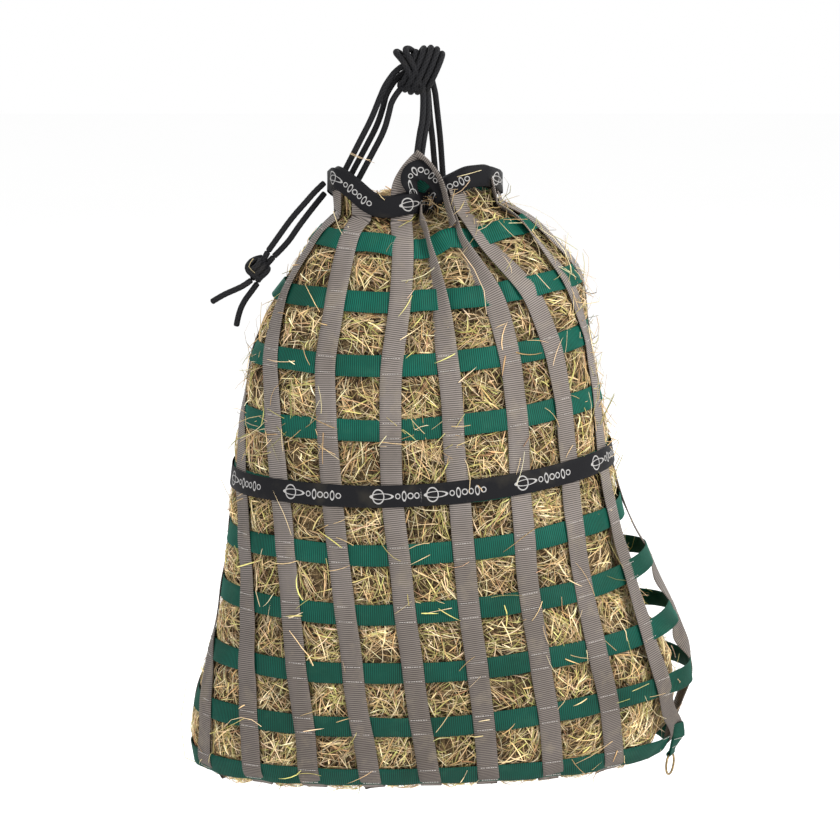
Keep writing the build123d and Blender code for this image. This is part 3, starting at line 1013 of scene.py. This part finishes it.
# Where stems poke out: level, its spread, share, its spread, weight
SPRIG_SPOTS = [
    (2.2, 0.8, 0.23, 0.03, 6),
    (4.2, 0.6, 0.24, 0.025, 4),
    (6.8, 1.0, 0.25, 0.03, 2),
    (3.0, 0.4, -0.24, 0.02, 1),
    (4.0, 0.12, -0.14, 0.03, 1.6),
    (4.1, 0.12, 0.01, 0.02, 1.6),
    (11.3, 0.3, 0.0, 0.2, 2),
    (4.5, 3.0, 0.0, 0.2, 1.0),
    (5.0, 3.0, 0.5, 0.2, 2),
    (0.3, 0.4, 0.12, 0.08, 2),
    (9.5, 0.8, 0.2, 0.05, 1.5),
]


def make_sprigs(name, count, spots):
    """Stems that poke out of the net, thickest round the named spots."""
    weights = np.array([s[4] for s in spots], float)
    pick = rng.choice(len(spots), count, p=weights / weights.sum())
    centre = np.array([s[:4] for s in spots])[pick]
    level = np.clip(centre[:, 0] + rng.normal(0, 1, count) * centre[:, 1], -0.5, KEEL - 0.3)
    share = centre[:, 2] + rng.normal(0, 1, count) * centre[:, 3]
    length = np.clip(rng.lognormal(math.log(34), 0.4, count), 14, 75)
    heading = rng.uniform(0, 2 * math.pi, count)
    out = rng.uniform(-5, 1, count)
    slope = rng.uniform(0.12, 0.62, count)
    levels, shares, outs = stem_paths(level, share, length, heading, rng.normal(0, 0.012, count), out, slope)
    outs = np.minimum(outs, 21)
    points = slack(skin(levels, shares, outs), levels, shares)
    normals = unit(lookup(OUTWARD, level, share))
    radius = rng.uniform(0.45, 0.85, count)
    flat = np.where(rng.random(count) < 0.4, 0.35, 0.85)
    kinds = rng.choice(["straw", "pale", "green"], count, p=(0.5, 0.25, 0.25))
    tints = np.array([tints_for(kind, 1)[0] for kind in kinds])
    stem_mesh(name, points, normals, radius, flat, tints)


# Single stems caught on the ropes and over the webbing, each by three points
CAUGHT = [
    [(-83, -16, -70), (-70, -17.5, -76), (-53, -15, -83)],
    [(-84, -15, -71), (-72, -17, -76.5), (-58, -16, -79)],
    [(-207, -16, -204), (-213, -15, -214), (-205, -17, -222)],
    [(-86, -52, -158), (-74, -58, -178), (-62, -64, -196)],
    [(-104, -46, -140), (-98, -52, -158), (-91, -58, -170)],
    [(-40, -62, -124), (-47, -63, -116), (-38, -63, -111)],
    [(50, -57, -96), (64, -60, -92), (80, -55, -88)],
    [(42, -58, -120), (56, -62, -112), (66, -58, -100)],
]


def make_caught():
    """The single stems that are caught on the net's front."""
    points = np.array([smooth_line(stem, STEM_POINTS) for stem in CAUGHT])
    count = len(points)
    normals = np.tile((0.0, -1.0, 0.0), (count, 1))
    radius = rng.uniform(0.5, 0.8, count)
    stem_mesh("hay_caught", points, normals, radius, np.full(count, 0.8), tints_for("pale", count))


TOP_STEMS = 700


def make_top_hay():
    """Stems heaped inside the mouth."""
    count = TOP_STEMS
    angle = rng.uniform(0, 2 * math.pi, count)
    spread = np.sqrt(rng.random(count))
    length = np.clip(rng.lognormal(math.log(30), 0.4, count), 12, 60)
    heading = rng.uniform(0, 2 * math.pi, count)
    t = np.linspace(-0.5, 0.5, STEM_POINTS)[None, :]
    x = 2 + spread * np.cos(angle) * 88
    y = spread * np.sin(angle) * 44
    z = -128 + 5 * (1 - spread**2) + rng.uniform(-4, 4, count)
    px = x[:, None] + np.cos(heading)[:, None] * length[:, None] * t
    py = y[:, None] + np.sin(heading)[:, None] * length[:, None] * t
    pz = z[:, None] + rng.normal(0, 0.15, count)[:, None] * length[:, None] * t
    grow = np.sqrt((px / 94) ** 2 + (py / 48) ** 2)
    shrink = np.minimum(1, 1 / np.maximum(grow, 1e-6))
    points = np.stack([px * shrink, py * shrink, pz - 6 * (grow > 1)], -1)
    up = np.tile([0.0, 0.0, 1.0], (count, 1))
    radius, flat = rng.uniform(0.6, 1.2, count), rng.choice([0.35, 0.85], count)
    stem_mesh("hay_in_mouth", points, up, radius, flat, tints_for("straw", count))


# --- the mouth ------------------------------------------------------------------------------------


MOUTH_POINTS = 900
HEM_RISE = 11.8  # from the casing's mid line to a hem's


def level_outward(around):
    """Level directions that point out of the mouth, from the directions round it."""
    return unit(np.stack([around[:, 1], -around[:, 0], np.zeros(len(around))], 1))


def mouth_frame(out, up):
    """Points round the casing with its width direction and face."""
    count = MOUTH_POINTS
    share = np.arange(count) / count
    line = lookup(SKIN, np.full(count, -1.0), share)
    around = loop_direction(line)
    level_out = unit(blur(level_outward(around), 6))
    across = unit(np.cross(level_out, around))
    normal = unit(np.cross(around, across))
    return line + normal * out - across * up, across, normal


def make_casing():
    """The channel round the mouth: green web inside, black ribbon outside and its two turned hems."""
    web = webbing("casing_lining", *mouth_frame(1.0, 0), GREEN, "green_webbing", closed=True, width=25)
    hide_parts("casing_web")
    size = dict(closed=True, thick=0.9, depth=0.06, width=25.4)
    ribbon = webbing("casing_band", *mouth_frame(9.5, 0), RIBBON, "black_ribbon", **size)
    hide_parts("casing_ribbon")
    size = dict(closed=True, thick=0.9, depth=0.05, width=9.0)
    for side, sign in (("upper", 1), ("lower", -1)):
        centre, across, normal = mouth_frame(5.4, HEM_RISE * sign)
        tilted = normal + across * 0.5 * sign
        webbing(f"casing_hem_{side}", centre, tilted, across, HEM, "black_ribbon", **size)


FACING = (0.0, -0.98, 0.2)
# The casing's band pulled up into an arch by the front ropes: x, y, z, width
ARCH = [
    (1, -50, -129, 10), (-6, -57, -112, 15), (-9, -59, -100, 22), (-5, -60, -91, 25), (4, -60, -87, 25),
    (13, -59, -90, 24), (21, -57, -98, 21), (29, -54, -110, 18), (37, -50, -116, 17),
]
ARCH_LINING = [
    (1, -38, -136, 14), (2, -38, -118, 16), (8, -38, -106, 18), (18, -38, -102, 18), (27, -38, -110, 18),
    (33, -38, -126, 16), (35, -38, -138, 14),
]
# The strap beside the arch, up to its fold, and down again edge-on: x, y, z, width, turn in degrees
FOLD_UP = [
    (-19, -49, -137, 27, 0), (-19, -51, -118, 27, 0), (-16, -52, -104, 26, 0), (-10, -53, -88, 20, 0),
    (-5, -54, -76, 12, 8), (-1, -54, -68, 6, 25),
]
FOLD_DOWN = [
    (-3, -54, -68, 20, 60), (5, -55, -74, 24, 66), (13, -56, -81, 26, 70), (20, -58, -88, 27, 76),
    (28, -61, -99, 27, 79), (34, -63, -115, 27, 79), (39, -69, -134, 27, 78), (45, -78, -154, 27, 72),
]
FOLD_POINTS = 160


def make_fold():
    """The casing's arch, its green lining and the strap folded over it."""
    for name, rows, look, thick, depth in (
        ("casing_arch", ARCH, (RIBBON, "black_ribbon"), 0.9, 0.06),
        ("casing_arch_lining", ARCH_LINING, (GREEN, "green_webbing"), 1.4, 0.5),
    ):
        rows = smooth_line(rows, FOLD_POINTS)
        face = np.tile(FACING, (FOLD_POINTS, 1))
        across = np.cross(face, unit(np.gradient(rows[:, :3], axis=0)))
        webbing(name, rows[:, :3], across, face, *look, thick=thick, depth=depth, widths=rows[:, 3])
    for name, rows in (("webbing_fold_up", FOLD_UP), ("webbing_fold_down", FOLD_DOWN)):
        rows = smooth_line(rows, FOLD_POINTS)
        along = unit(np.gradient(rows[:, :3], axis=0))
        across = unit(np.cross(FACING, along))
        turned = turned_by(np.radians(rows[:, 4]), across, unit(np.cross(along, across)))
        webbing(name, rows[:, :3], *turned, GREY, "grey_webbing", widths=rows[:, 3])


# --- rope -----------------------------------------------------------------------------------------

ROPE = 7.6
# The rope's routes, from the mouth to the top knot or along the tail, in metres
ROUTES = {
    "rope_left_outer": [
        (-0.093, -0.008, -0.098), (-0.073, -0.008, -0.059), (-0.057, -0.007, -0.029),
        (-0.047, -0.006, -0.004), (-0.038, -0.006, 0.017), (-0.027, -0.005, 0.03),
    ],
    "rope_left_middle": [
        (-0.084, 0.004, -0.101), (-0.065, 0.004, -0.066), (-0.05, 0.004, -0.038), (-0.042, 0.004, -0.014),
        (-0.038, 0.004, 0.004), (-0.027, 0.003, 0.019),
    ],
    "rope_left_inner": [
        (-0.075, -0.006, -0.107), (-0.056, -0.006, -0.072), (-0.041, -0.006, -0.044),
        (-0.035, -0.006, -0.022), (-0.031, -0.006, -0.004), (-0.02, -0.005, 0.009),
    ],
    "rope_front_left": [
        (-0.001, -0.046, -0.078), (0.003, -0.038, -0.046), (0.008, -0.027, -0.026), (0.008, -0.012, 0),
    ],
    "rope_front_right": [
        (0.005, -0.038, -0.078), (0.0094, -0.031, -0.046), (0.0146, -0.02, -0.026),
        (0.0134, -0.005, 0),
    ],
    "rope_back_left": [
        (0.025, 0.042, -0.112), (0.022, 0.04, -0.084), (0.02, 0.034, -0.057), (0.0165, 0.026, -0.03),
        (0.0145, 0.009, 0),
    ],
    "rope_back_right": [
        (0.034, 0.04, -0.114), (0.032, 0.039, -0.086), (0.03, 0.035, -0.058), (0.0265, 0.025, -0.026),
        (0.023, 0.01, 0.004),
    ],
    "tail_upper": [
        (-0.116, -0.009, -0.108), (-0.128, -0.009, -0.119), (-0.14, -0.007, -0.133),
        (-0.158, -0.006, -0.153), (-0.174, -0.006, -0.175), (-0.189, -0.006, -0.196),
    ],
    "tail_lower": [
        (-0.116, 0.001, -0.122), (-0.126, 0, -0.134), (-0.138, -0.002, -0.149), (-0.151, -0.003, -0.166),
        (-0.165, -0.004, -0.187), (-0.182, -0.004, -0.203),
    ],
    "tail_end_long": [
        (-0.21, -0.008, -0.232), (-0.219, -0.009, -0.239), (-0.232, -0.009, -0.245),
        (-0.248, -0.008, -0.252), (-0.262, -0.007, -0.261),
    ],
    "tail_end_short": [
        (-0.203, -0.002, -0.237), (-0.211, -0.001, -0.248), (-0.221, -0.001, -0.261),
        (-0.228, -0.002, -0.277), (-0.231, -0.003, -0.293),
    ],
}


def spline_points(route, closed=False):
    """Points read from a smooth NURBS curve through a route, in millimetres."""
    curve = bpy.data.curves.new("route", "CURVE")
    curve.dimensions = "3D"
    spline = curve.splines.new("NURBS")
    spline.points.add(len(route) - 1)
    for point, place in zip(spline.points, route):
        point.co = (*place, 1)
    spline.order_u = 3
    if closed:
        spline.use_cyclic_u = True
    else:
        spline.use_endpoint_u = True
    spline.resolution_u = 24
    holder = bpy.data.objects.new("route", curve)
    mesh = bpy.data.meshes.new_from_object(holder)
    points = np.array([v.co for v in mesh.vertices], float) / MM
    bpy.data.objects.remove(holder)
    bpy.data.meshes.remove(mesh)
    bpy.data.curves.remove(curve)
    return points


AROUND = 24
BRAID_STEP = 0.95  # between the tube's rings
LAY = 6.5  # length over which a strand moves on to the next one's place
STRANDS = 6  # each way round
END_ROUND = 1.6  # how far from its end a cut rope is rounded


def braid(path, closed=False, start=0):
    """A braided tube's vertices, faces and crest heights along a path."""
    (path,), along = resample([path], BRAID_STEP, closed)
    tangent = loop_direction(path) if closed else unit(np.gradient(path, axis=0))
    normal = np.zeros_like(path)
    normal[0] = unit(np.cross(tangent[0], (0.3, 0.9, 0.2)))
    for i in range(1, len(path)):
        turned = normal[i - 1] - tangent[i] * (normal[i - 1] @ tangent[i])
        normal[i] = turned / np.linalg.norm(turned)
    side = np.cross(tangent, normal)
    angle = np.arange(AROUND) / AROUND * 2 * math.pi
    turns = along[:, None] / LAY * 2 * math.pi
    strands = STRANDS * angle[None, :]
    crest = np.maximum(np.cos(strands + turns), np.cos(strands - turns)) * 0.5 + 0.5
    reach = ROPE / 2 * (0.945 + 0.075 * crest)
    if not closed:
        ends = np.minimum(along, along[-1] - along)
        reach = reach * np.sqrt(np.clip(1 - (1 - np.clip(ends / END_ROUND, 0, 1)) ** 2, 0.3, 1))[:, None]
    verts = path[:, None, :] + normal[:, None, :] * (np.cos(angle)[None, :] * reach)[:, :, None]
    verts = verts + side[:, None, :] * (np.sin(angle)[None, :] * reach)[:, :, None]
    faces = [grid_faces(len(path), AROUND, closed_rows=closed, start=start)]
    if not closed:
        faces.append(np.arange(AROUND)[None, ::-1] + start)
        faces.append(np.arange(AROUND)[None, :] + start + (len(path) - 1) * AROUND)
    return verts.reshape(-1, 3), faces, crest.ravel()


def rope_piece(name, paths):
    """One object of one or more braided lengths; each is (path, closed)."""
    verts, quads, ends, crests, start = [], [], [], [], 0
    for path, closed in paths:
        v, faces, crest = braid(path, closed, start)
        verts.append(v)
        crests.append(crest)
        quads.append(faces[0])
        ends += faces[1:]
        start += len(v)
    faces = [np.concatenate(quads)] + ends
    crests = np.concatenate(crests)
    return new_object(name, np.concatenate(verts), faces, "net", ROPE_BLACK, values=crests)


def make_ropes(knots):
    """The rope's visible lengths; knots, the pieces tied in some of them, is not used."""
    for node, route in ROUTES.items():
        path = spline_points(route)
        piece = rope_piece(f"{node}_braid", [(path, False)])
        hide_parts(node)


WRAP_LEAN = 2.0  # how far a wrap leans sideways from front to back


def ellipse_loop(middle, up, half_height, half_depth, steps=14):
    """A wrap's closed loop, its long way along up and its short way along Y."""
    up = unit(np.array(up, float))
    out = np.array((0.0, 1.0, 0.0))
    side = np.cross(up, out)
    points = []
    for i in range(steps):
        a = 2 * math.pi * i / steps
        round_it = up * math.cos(a) * half_height + out * math.sin(a) * half_depth
        points.append(np.array(middle) + round_it + side * math.sin(a) * WRAP_LEAN)
    return [tuple(p * MM) for p in points]


def tie(name, node, wraps, runs):
    """A knot of closed wraps and open runs of rope."""
    paths = [(spline_points(loop, closed=True), True) for loop in wraps]
    paths += [(spline_points([tuple(c * MM for c in place) for place in run]), False) for run in runs]
    knot = rope_piece(name, paths)
    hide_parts(node)
    return knot


def make_top_knot():
    """A big overhand knot: five wraps side by side, two bights over them and the strands' ends."""
    up = (0.42, 0, 0.9)
    wraps = [
        ellipse_loop((-11, 0, 33), up, 24, 16),
        ellipse_loop((-3, -1, 33), up, 29, 20),
        ellipse_loop((5, -2, 32), up, 31, 21),
        ellipse_loop((13, -1, 31), up, 30, 20),
        ellipse_loop((21, 0, 29), up, 26, 17),
    ]
    runs = [
        [(0, 12, 34), (-14, 9, 46), (-24, 2, 55), (-27, -5, 54), (-21, -13, 48), (-13, -19, 38)]
        + [(-6, -19, 24), (0, -15, 10)],
        [(2, 10, 48), (-6, 6, 57), (-14, -2, 59), (-14, -10, 55), (-7, -20, 44), (0, -21, 30), (5, -17, 13)],
        [(-29.75, -5.25, 26.75), (-27, -5, 30), (-17, -7, 38), (-4, -7, 38), (10, -2, 36)],
        [(-29.75, 3.25, 15.25), (-27, 3, 19), (-16, 3, 29), (-2, 3, 34), (10, 3, 34)],
        [(-22.75, -5.25, 5.75), (-20, -5, 9), (-10, -8, 17), (2, -10, 22), (12, -6, 26)],
        [(-18.5, -8, 9), (-16, -10, 10), (-4, -14, 10), (8, -12, 10), (18, -6, 14)],
        [(8, -15.75, -6.5), (8, -12, 0), (7, -12, 12), (7, -8, 24), (8, 0, 34)],
        [(13.7, -8.75, -6.5), (13.4, -5, 0), (12.5, -6, 14), (12, -6, 24), (12, 0, 34)],
        [(15, 13.25, -7.5), (14.5, 9, 0), (13, 9, 14), (12, 8, 26), (10, 2, 34)],
        [(23.875, 13.75, -3.5), (23, 10, 4), (20, 9, 15), (18, 8, 26), (14, 2, 34)],
    ]
    return tie("knot_top", "top_knot", wraps, runs)


def make_stopper():
    """The overhand knot near the tail's end."""
    up = (0.9, 0, 0.75)
    wraps = [
        ellipse_loop((-206, -5, -214), up, 9.5, 8.5, 10),
        ellipse_loop((-201.5, -5, -219), up, 11, 9.5, 10),
        ellipse_loop((-196, -5, -223.5), up, 9, 8.5, 10),
    ]
    runs = [
        [(-189, -6, -196), (-194, -6, -206), (-201, -5, -218), (-206, -4, -228), (-210, -8, -231)],
        [(-182, -4, -203), (-190, -3, -212), (-198, -2, -222), (-201, -2, -230), (-203, -2, -236)],
        [(-196, 3, -205), (-206, 1, -206), (-215, -4, -213), (-215, -10, -220), (-206, -14, -226)]
        + [(-196, -10, -230)],
    ]
    return tie("knot_stopper", "stopper_knot", wraps, runs)


HIDDEN_POINTS = 400
HIDDEN_OUT = 5.2  # from the casing's mid line to the hidden rope's middle


def make_drawstring():
    """The rope's two hidden runs inside the casing."""
    count = HIDDEN_POINTS
    for name, low, high in (("drawstring_front", -0.23, 0.23), ("drawstring_back", 0.27, 0.73)):
        s = np.linspace(low, high, count)
        line = lookup(SKIN, np.full(count, -1.0), s)
        out = level_outward(unit(np.gradient(line, axis=0)))
        piece = rope_piece(f"{name}_braid", [(blur(line + out * HIDDEN_OUT, 6, closed=False), False)])
        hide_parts(name)


# --- tab and ring ---------------------------------------------------------------------------------

TAB_TOP = np.array((343.0, -38.0, -831.0))
TAB_EYE = np.array((333.0, -38.0, -856.0))
TAB_TURN = math.radians(27)  # the eye's direction, from +Y towards +X
TAB_TWIST = math.radians(32)  # how much further the tab is turned at its top
TAB_PLAIN = 0.25  # the share of the tab's height below its twist
TAB_WIDTH = 16.0
TAB_FLARE = 1.5  # how much wider it is at its top
EYE_RADIUS = 2.728  # the fold's, to the webbing's middle
PLY = 0.95  # from the tab's middle to the middle of each of its two plies
TAB_RIBS = dict(rib=1.8, depth=0.35)
# The tab's upper end, sewn over the last strap's corner; it is attached to no body.
TAB_ROOT = [(343.3, -38, -832.5), (343, -39.5, -826), (342, -42, -819), (340.5, -45, -811)]


def tab_width_way(height):
    """The tab's width direction at a share of its height."""
    turn = TAB_TURN + TAB_TWIST * np.clip((np.asarray(height) - TAB_PLAIN) / (1 - TAB_PLAIN), 0, 1)
    return np.stack([np.sin(turn), np.cos(turn), 0 * turn], -1)


def make_tab():
    """Webbing folded round the ring and sewn shut above it, with its sewn root and its stitches."""
    up = unit(TAB_TOP - TAB_EYE)
    across = unit(np.cross(up, tab_width_way(0.0)))
    reach = np.linalg.norm(TAB_TOP - TAB_EYE)
    rise = np.linspace(1, 0.3, 12)[:, None]
    fold = np.linspace(-1.15, math.pi + 1.15, 30)[:, None]
    line = np.concatenate([
        up * reach * rise - across * PLY,
        -across * np.cos(fold) * EYE_RADIUS - up * (np.sin(fold) * EYE_RADIUS - 1.0),
        up * reach * rise[::-1] + across * PLY,
    ])
    line = blur(line, 1, closed=False) + TAB_EYE
    height = (line - TAB_EYE) @ up / reach
    wide = tab_width_way(height)
    normal = np.cross(unit(np.gradient(line, axis=0)), wide)
    widths = TAB_WIDTH + TAB_FLARE * np.clip((height - TAB_PLAIN) / (1 - TAB_PLAIN), 0, 1)
    tab = webbing(
        "ring_tab_webbing", line, wide, normal, GREEN, "green_webbing",
        thick=1.3, body="tab", widths=widths, **TAB_RIBS,
    )
    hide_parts("ring_tab")
    root = smooth_line(TAB_ROOT, 40)
    across = np.tile(wide[0], (len(root), 1))
    face = np.cross(unit(np.gradient(root, axis=0)), across)
    sewn = webbing(
        "ring_tab_root", root, across, face, GREEN, "green_webbing",
        width=19.0, thick=3.6, body=None, **TAB_RIBS,
    )
    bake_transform(sewn)
    places = []
    for row in (0.42, 0.86):
        wide = tab_width_way(row)
        face = unit(np.cross(up, wide))
        for offset in np.arange(-6, 6.1, 2.0):
            for side in (-1, 1):
                middle = TAB_EYE + up * reach * row + wide * offset + face * side * 1.85
                places.append((middle, wide, up, face))
    stitch_piece("ring_tab_stitches", places, (0.7, 0.28, 0.25), "tab")


# --- build ----------------------------------------------------------------------------------------

make_core()
make_stems("hay_straw_1", "straw", 7200, 1.1)
make_stems("hay_straw_2", "straw", 7200, 0.9)
make_stems("hay_pale", "pale", 7200, 0.9)
make_stems("hay_green", "green", 6000, 1.0)
make_stems("hay_brown", "brown", 5000, 0.9)
make_stems("hay_leaves_straw", "straw", 11800, 1.0, blade=True)
make_stems("hay_leaves_pale", "pale", 11800, 0.9, blade=True)
make_stems("hay_leaves_green", "green", 9000, 1.0, blade=True)
make_sprigs("hay_sprigs", 650, SPRIG_SPOTS)
make_top_hay()
make_caught()
for strap in range(STRAPS // 2):
    make_strap(strap)
for level in HOOPS:
    make_hoop(level)
make_waist()
make_tacks()
make_casing()
make_fold()
make_drawstring()
make_ropes({"rope_left_outer": [make_top_knot()], "tail_upper": [make_stopper()]})
make_tab()
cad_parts["ring"].data.materials.clear()
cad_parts["ring"].data.materials.append(BRASS)

# --- camera, light and floor ----------------------------------------------------------------------

scene = bpy.context.scene
camera = bpy.data.objects.new("camera", bpy.data.cameras.new("camera"))
scene.collection.objects.link(camera)
scene.camera = camera
ELEVATION = math.radians(12)
DISTANCE = 3.0
AIM = Vector((0.004, 0, -0.41))
LOWERED = 0.0059  # how far the camera's axis passes under the aim
back = Vector((0, -math.cos(ELEVATION), math.sin(ELEVATION)))
upward = Vector((0, math.sin(ELEVATION), math.cos(ELEVATION)))
camera.location = AIM - upward * LOWERED + back * DISTANCE
camera.rotation_mode = "QUATERNION"
camera.rotation_quaternion = (-back).to_track_quat("-Z", "Y")
camera.data.sensor_width = 36
camera.data.lens = 99.6
camera.data.clip_end = 20


def area_light(name, place, aim, size, power, colour=(1, 1, 1)):
    light = bpy.data.objects.new(name, bpy.data.lights.new(name, "AREA"))
    scene.collection.objects.link(light)
    light.data.size = size
    light.data.energy = power
    light.data.color = colour
    light.location = place
    light.rotation_mode = "QUATERNION"
    light.rotation_quaternion = (Vector(aim) - Vector(place)).to_track_quat("-Z", "Y")


MIDDLE = (0, 0, -0.45)
area_light("key", (2.4, -2.2, 1.7), MIDDLE, 0.9, 120, (1.0, 0.985, 0.96))
area_light("fill", (-2.4, -2.0, 0.3), MIDDLE, 2.2, 14, (0.97, 0.985, 1.0))
area_light("back_left", (-1.6, 2.3, 1.2), MIDDLE, 1.6, 26)
area_light("back_right", (1.9, 2.2, 0.6), MIDDLE, 1.6, 26)

scene.view_settings.view_transform = "Standard"
world = bpy.data.worlds.new("studio")
scene.world = world
world.use_nodes = True
backdrop = world.node_tree.nodes["Background"]
backdrop.inputs["Color"].default_value = (1, 1, 1, 1)
backdrop.inputs["Strength"].default_value = 1.0

pale = Nodes("pale_floor", Roughness=1.0, Specular_IOR_Level=0.0)
pale.base(pale.ramp(pale.noise(0.5, 2), (0.3, (0.98, 0.98, 0.98)), (0.7, (0.985, 0.985, 0.985))))
bpy.ops.mesh.primitive_plane_add(size=30, location=(0, 0, -1.2))
floor = bpy.context.object
floor.name = "floor"
floor.data.materials.append(pale.material)
